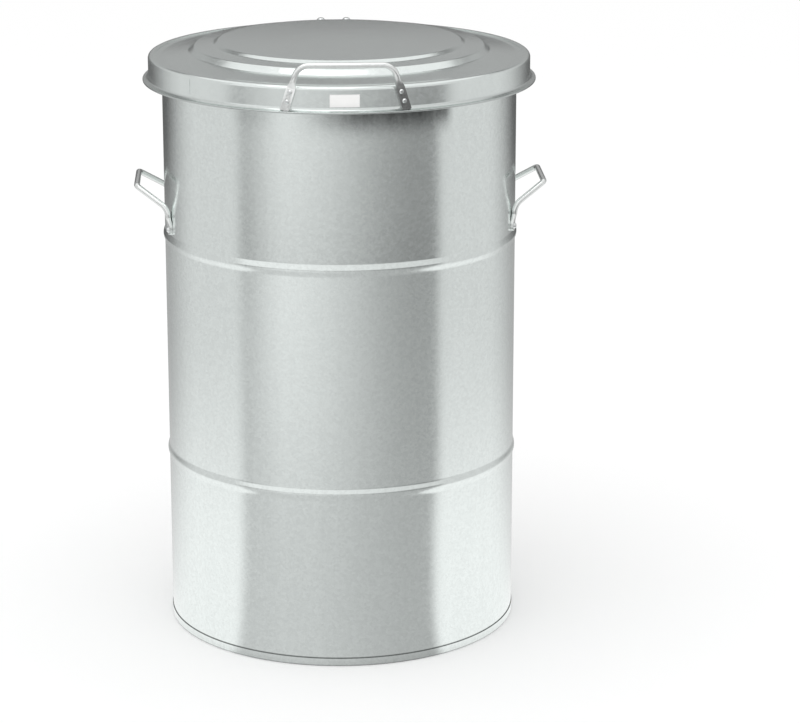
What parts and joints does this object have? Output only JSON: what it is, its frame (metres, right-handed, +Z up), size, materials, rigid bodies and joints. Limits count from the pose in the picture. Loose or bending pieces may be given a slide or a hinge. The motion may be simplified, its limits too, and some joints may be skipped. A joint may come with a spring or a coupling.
{
  "type": "galvanised trash can with hinged lid",
  "caption": "Tall round trash can of galvanised steel sheet with pressed ribs, bent rod side handles and a stepped lid hinged at the back.",
  "frame": {"origin": "centre of the ring that the bin stands on, at floor level", "axes": "+Z up along the bin's centre line, -Y to the front where the lid handle is, +Y to the hinge at the back, +X to the right seen from the front"},
  "size_m": [0.582, 0.567, 0.8589],
  "materials": {
    "galvanised_sheet": "satin",
    "zinc_rod": "satin",
    "hinge_steel": "satin",
    "rivet_steel": "satin"
  },
  "bodies": {
    "bin": {"body_shell": "galvanised_sheet", "bottom_pan": "galvanised_sheet", "left_handle": "zinc_rod", "right_handle": "zinc_rod", "left_handle_rivets": "rivet_steel", "right_handle_rivets": "rivet_steel", "hinge_bracket": "hinge_steel", "hinge_bracket_rivets": "rivet_steel", "hinge_pin": "hinge_steel"},
    "lid": {"lid_top": "galvanised_sheet", "lid_skirt": "galvanised_sheet", "lid_handle": "zinc_rod", "lid_handle_rivets": "rivet_steel", "left_hinge_strap": "hinge_steel", "right_hinge_strap": "hinge_steel", "hinge_strap_rivets": "rivet_steel"}
  },
  "joints": [
    {"name": "lid_hinge", "type": "hinge", "parent": "bin", "child": "lid", "pos_m": [0, 0.284, 0.78365], "axis": [-1, 0, 0], "range_deg": [0, 230]}
  ]
}
